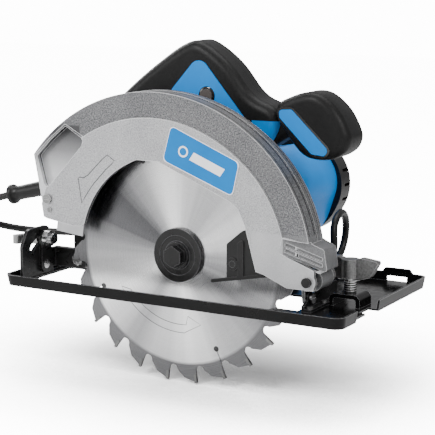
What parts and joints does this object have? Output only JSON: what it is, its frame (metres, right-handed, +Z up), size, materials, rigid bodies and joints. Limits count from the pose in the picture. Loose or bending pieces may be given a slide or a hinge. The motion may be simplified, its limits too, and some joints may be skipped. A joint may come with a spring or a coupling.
{
  "type": "circular saw",
  "caption": "Corded hand-held circular saw with a cast upper guard, black sole plate, soft-grip handles and a blue motor housing.",
  "frame": {"origin": "middle of the sole plate on its underside, at the edge of the blade slot", "axes": "+X the way the saw is pushed, +Y towards the motor, +Z up from the work"},
  "size_m": [0.4635, 0.2435, 0.3049],
  "materials": {
    "black_plate": "gloss",
    "bracket_black": "satin",
    "cast_guard": "satin",
    "pressed_guard": "satin",
    "zinc": "satin",
    "bright_steel": "polished",
    "blade_steel": "satin",
    "carbide": "satin",
    "black_plastic": "matte",
    "soft_grip": "matte",
    "blue_plastic": "satin",
    "label_blue": "gloss",
    "copper": "satin",
    "graphite": "matte",
    "cord_rubber": "matte",
    "brass_pin": "polished"
  },
  "bodies": {
    "base": {"base_plate": "black_plate", "front_bracket": "bracket_black", "rear_quadrant": "bracket_black", "base_rivets": "zinc", "sight_tongue": "bracket_black", "fence_bridge": "black_plate"},
    "fence_screw": {"fence_wing_bolt": "zinc"},
    "tilt": {"front_tilt_bracket": "cast_guard", "rear_tilt_bracket": "bracket_black", "bevel_pins": "bright_steel", "depth_pin": "bracket_black", "depth_arm": "bracket_black", "depth_arm_screw": "bright_steel", "bevel_nut": "bright_steel"},
    "bevel_screw": {"bevel_wing_bolt": "zinc"},
    "depth_lock": {"depth_lever": "black_plastic"},
    "trigger_lever": {"trigger": "black_plastic"},
    "lock_off": {"lock_off_button": "black_plastic"},
    "spindle_lock": {"spindle_lock_button": "black_plastic"},
    "armature": {"armature_shaft": "bright_steel", "armature_core": "bright_steel", "commutator": "copper", "cooling_fan": "black_plastic"},
    "arbor": {"spindle": "bright_steel", "drive_gear": "bright_steel", "inner_flange": "bright_steel", "outer_flange": "bracket_black", "blade": "blade_steel", "blade_tips": "carbide", "blade_bolt": "bracket_black"},
    "swing_guard": {"lower_guard": "pressed_guard", "guard_lever": "black_plastic", "lever_screw": "bracket_black"},
    "saw": {"upper_guard": "cast_guard", "side_label": "label_blue", "gear_housing": "cast_guard", "housing_screws": "bright_steel", "motor_housing": "blue_plastic", "motor_end_cover": "black_plastic", "cover_screws": "zinc", "brush_caps": "black_plastic", "carbon_brushes": "graphite", "stator_core": "bright_steel", "field_coils": "copper", "ball_bearings": "bright_steel", "bearing_retainer": "bright_steel", "handle_right": "soft_grip", "handle_left": "soft_grip", "handle_inset": "blue_plastic", "front_grip": "soft_grip", "front_grip_inset": "blue_plastic", "switch_body": "black_plastic", "trigger_pin": "bright_steel", "depth_bolt": "bright_steel", "cord_guard": "cord_rubber", "power_cord": "cord_rubber", "cord_hank": "cord_rubber", "wire_tie": "black_plastic", "plug": "cord_rubber", "plug_pins": "brass_pin"}
  },
  "joints": [
    {"name": "bevel", "type": "hinge", "parent": "base", "child": "tilt", "pos_m": [-0.011, -0.044, 0.012], "axis": [1, 0, 0], "range_deg": [0, 45]},
    {"name": "bevel_clamp", "type": "hinge", "parent": "tilt", "child": "bevel_screw", "pos_m": [-0.171, -0.044, 0.037], "axis": [1, 0, 0], "range_deg": [0, 180]},
    {"name": "fence_clamp", "type": "hinge", "parent": "base", "child": "fence_screw", "pos_m": [0.141, -0.012, 0.022], "axis": [0, 0, -1], "range_deg": [0, 60]},
    {"name": "depth", "type": "hinge", "parent": "tilt", "child": "saw", "pos_m": [0.126, -0.044, 0.03], "axis": [0, 1, 0], "range_deg": [0, 24]},
    {"name": "depth_clamp", "type": "hinge", "parent": "saw", "child": "depth_lock", "pos_m": [-0.1305, -0.016, 0.05], "axis": [0, -1, 0], "range_deg": [0, 60]},
    {"name": "trigger_squeeze", "type": "hinge", "parent": "saw", "child": "trigger_lever", "pos_m": [-0.025, 0.003, 0.172], "axis": [0, 1, 0], "range_deg": [0, 6], "stiffness_Nm_per_rad": 1},
    {"name": "lock_off_press", "type": "slide", "parent": "saw", "child": "lock_off", "axis": [0, 1, 0], "range_m": [0, 0.004], "stiffness_N_per_m": 200},
    {"name": "spindle_lock_press", "type": "slide", "parent": "saw", "child": "spindle_lock", "axis": [1, 0, 0], "range_m": [0, 0.0024], "stiffness_N_per_m": 300},
    {"name": "blade_spin", "type": "hinge", "parent": "saw", "child": "arbor", "pos_m": [-0.011, -0.044, 0.036], "axis": [0, -1, 0], "continuous": true},
    {"name": "armature_spin", "type": "hinge", "parent": "saw", "child": "armature", "pos_m": [0.0126, 0.056, 0.0697], "axis": [0, -1, 0], "continuous": true},
    {"name": "guard_swing", "type": "hinge", "parent": "saw", "child": "swing_guard", "pos_m": [-0.011, -0.044, 0.036], "axis": [0, -1, 0], "range_deg": [0, 180]}
  ],
  "couplings": [
    {"joint": "armature_spin", "follows": "blade_spin", "ratio": -3.2727}
  ]
}
